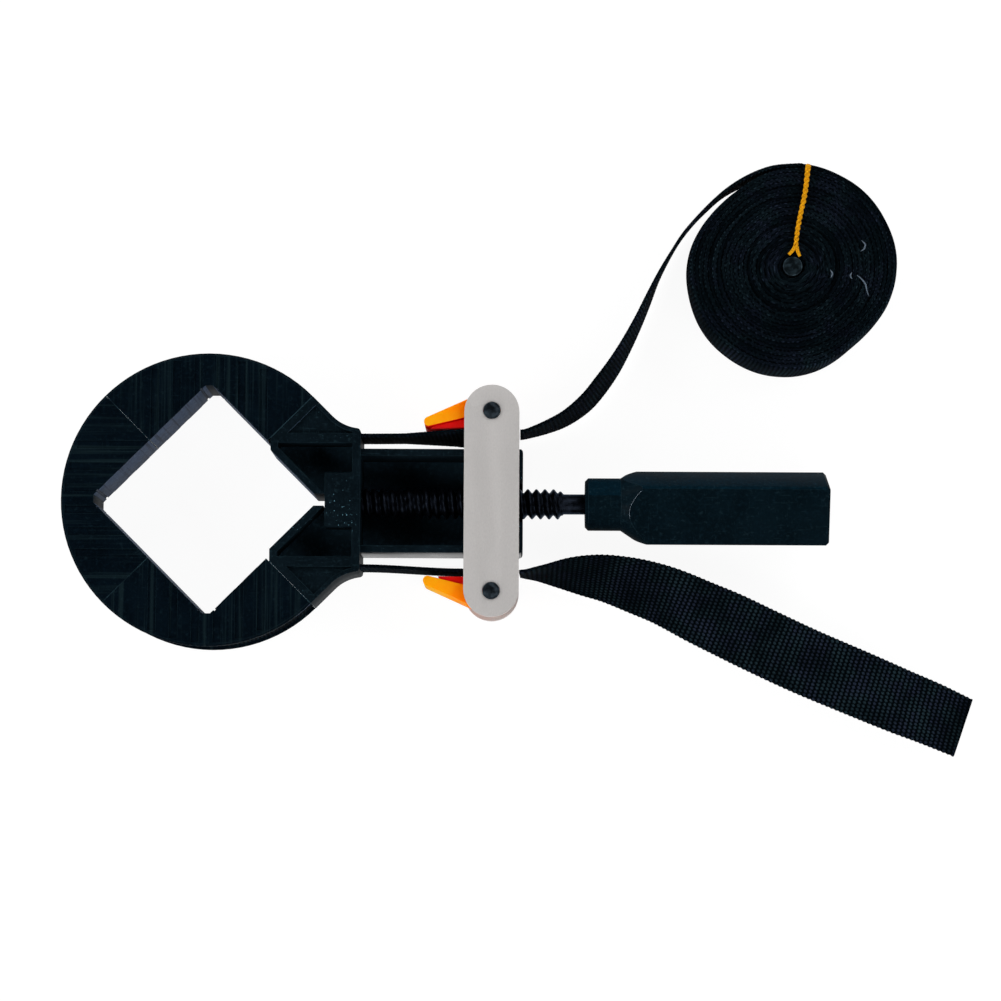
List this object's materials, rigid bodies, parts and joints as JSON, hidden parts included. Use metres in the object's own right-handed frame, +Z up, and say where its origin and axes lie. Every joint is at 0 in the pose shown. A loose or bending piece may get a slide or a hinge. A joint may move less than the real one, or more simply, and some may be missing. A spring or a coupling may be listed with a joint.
{
  "type": "band clamp",
  "caption": "Webbing band clamp with corner jaws round a square opening, a screw with a square-section grip, a crossbar with cam levers, and a coil of spare webbing.",
  "frame": {"origin": "on the bench plane, under the middle of the box of the clamp without its free webbing", "axes": "+X along the screw from the ring of jaws to the grip, +Y to the side where the webbing comes in from its coil, +Z up from the bench"},
  "size_m": [0.3464, 0.2265, 0.0307],
  "materials": {
    "body_plastic": "moulded, slightly glossy blue-black, scuffed",
    "jaw_plastic": "moulded, slightly glossy blue-black",
    "grip_plastic": "smooth satin black with scuffs",
    "webbing": "plain woven polyester webbing",
    "brushed_plate": "brushed along its length",
    "dark_steel": "blackened, oiled",
    "lever_plastic": "smooth orange",
    "tie_cord": "twisted yellow cord"
  },
  "bodies": {
    "clamp_body": {"clamp_body": "body_plastic", "strap_shoulder_feed": "webbing", "strap_shoulder_tail": "webbing"},
    "spindle": {"screw": "dark_steel", "handle_grip": "grip_plastic"},
    "crosshead": {"crossbar_top": "brushed_plate", "crossbar_bottom": "brushed_plate", "spindle_nut": "dark_steel", "pivot_pin_feed": "dark_steel", "pivot_pin_tail": "dark_steel", "strap_anvil_feed": "body_plastic", "strap_anvil_tail": "body_plastic", "strap_clamp_feed": "webbing", "strap_clamp_tail": "webbing", "strap_neck_feed": "webbing", "strap_neck_tail": "webbing", "strap_feed": "webbing", "strap_tail": "webbing", "strap_coil": "webbing", "coil_core": "dark_steel", "coil_tie": "tie_cord"},
    "cam_lever_feed": {"cam_lever_feed": "lever_plastic"},
    "cam_lever_tail": {"cam_lever_tail": "lever_plastic"},
    "jaw_feed": {"corner_jaw_feed": "jaw_plastic", "strap_jaw_feed": "webbing"},
    "jaw_far": {"corner_jaw_far": "jaw_plastic", "strap_jaw_far_feed": "webbing"},
    "jaw_tail": {"corner_jaw_tail": "jaw_plastic", "strap_jaw_tail": "webbing"},
    "strap_far_tail": {"strap_jaw_far_tail": "webbing"}
  },
  "joints": [
    {"name": "spindle_turn", "type": "hinge", "parent": "clamp_body", "child": "spindle", "pos_m": [0.0005, 0, 0.015], "axis": [1, 0, 0], "range_deg": [0, 2520]},
    {"name": "crosshead_slide", "type": "slide", "parent": "clamp_body", "child": "crosshead", "axis": [1, 0, 0], "range_m": [-0.02275, 0], "deforming": ["strap_neck_feed", "strap_neck_tail"]},
    {"name": "cam_lever_feed_pivot", "type": "hinge", "parent": "crosshead", "child": "cam_lever_feed", "pos_m": [0.01725, 0.03405, 0.015], "axis": [0, 0, 1], "range_deg": [-70, 0]},
    {"name": "cam_lever_tail_pivot", "type": "hinge", "parent": "crosshead", "child": "cam_lever_tail", "pos_m": [0.01725, -0.03405, 0.015], "axis": [0, 0, 1], "range_deg": [0, 70]},
    {"name": "jaw_feed_spread", "type": "slide", "parent": "clamp_body", "child": "jaw_feed", "axis": [-0.7071, 0.7071, 0], "range_m": [0, 0.03]},
    {"name": "jaw_far_spread", "type": "slide", "parent": "jaw_feed", "child": "jaw_far", "axis": [-0.7071, -0.7071, 0], "range_m": [0, 0.03]},
    {"name": "jaw_tail_spread", "type": "slide", "parent": "clamp_body", "child": "jaw_tail", "axis": [-0.7071, -0.7071, 0], "range_m": [0, 0.03]},
    {"name": "strap_far_tail_spread", "type": "slide", "parent": "jaw_tail", "child": "strap_far_tail", "axis": [-0.7071, 0.7071, 0], "range_m": [0, 0.03]}
  ],
  "couplings": [
    {"joint": "spindle_turn", "follows": "crosshead_slide", "rad_per_m": -1933.3},
    {"joint": "jaw_tail_spread", "follows": "jaw_far_spread", "ratio": 1},
    {"joint": "strap_far_tail_spread", "follows": "jaw_feed_spread", "ratio": 1}
  ]
}
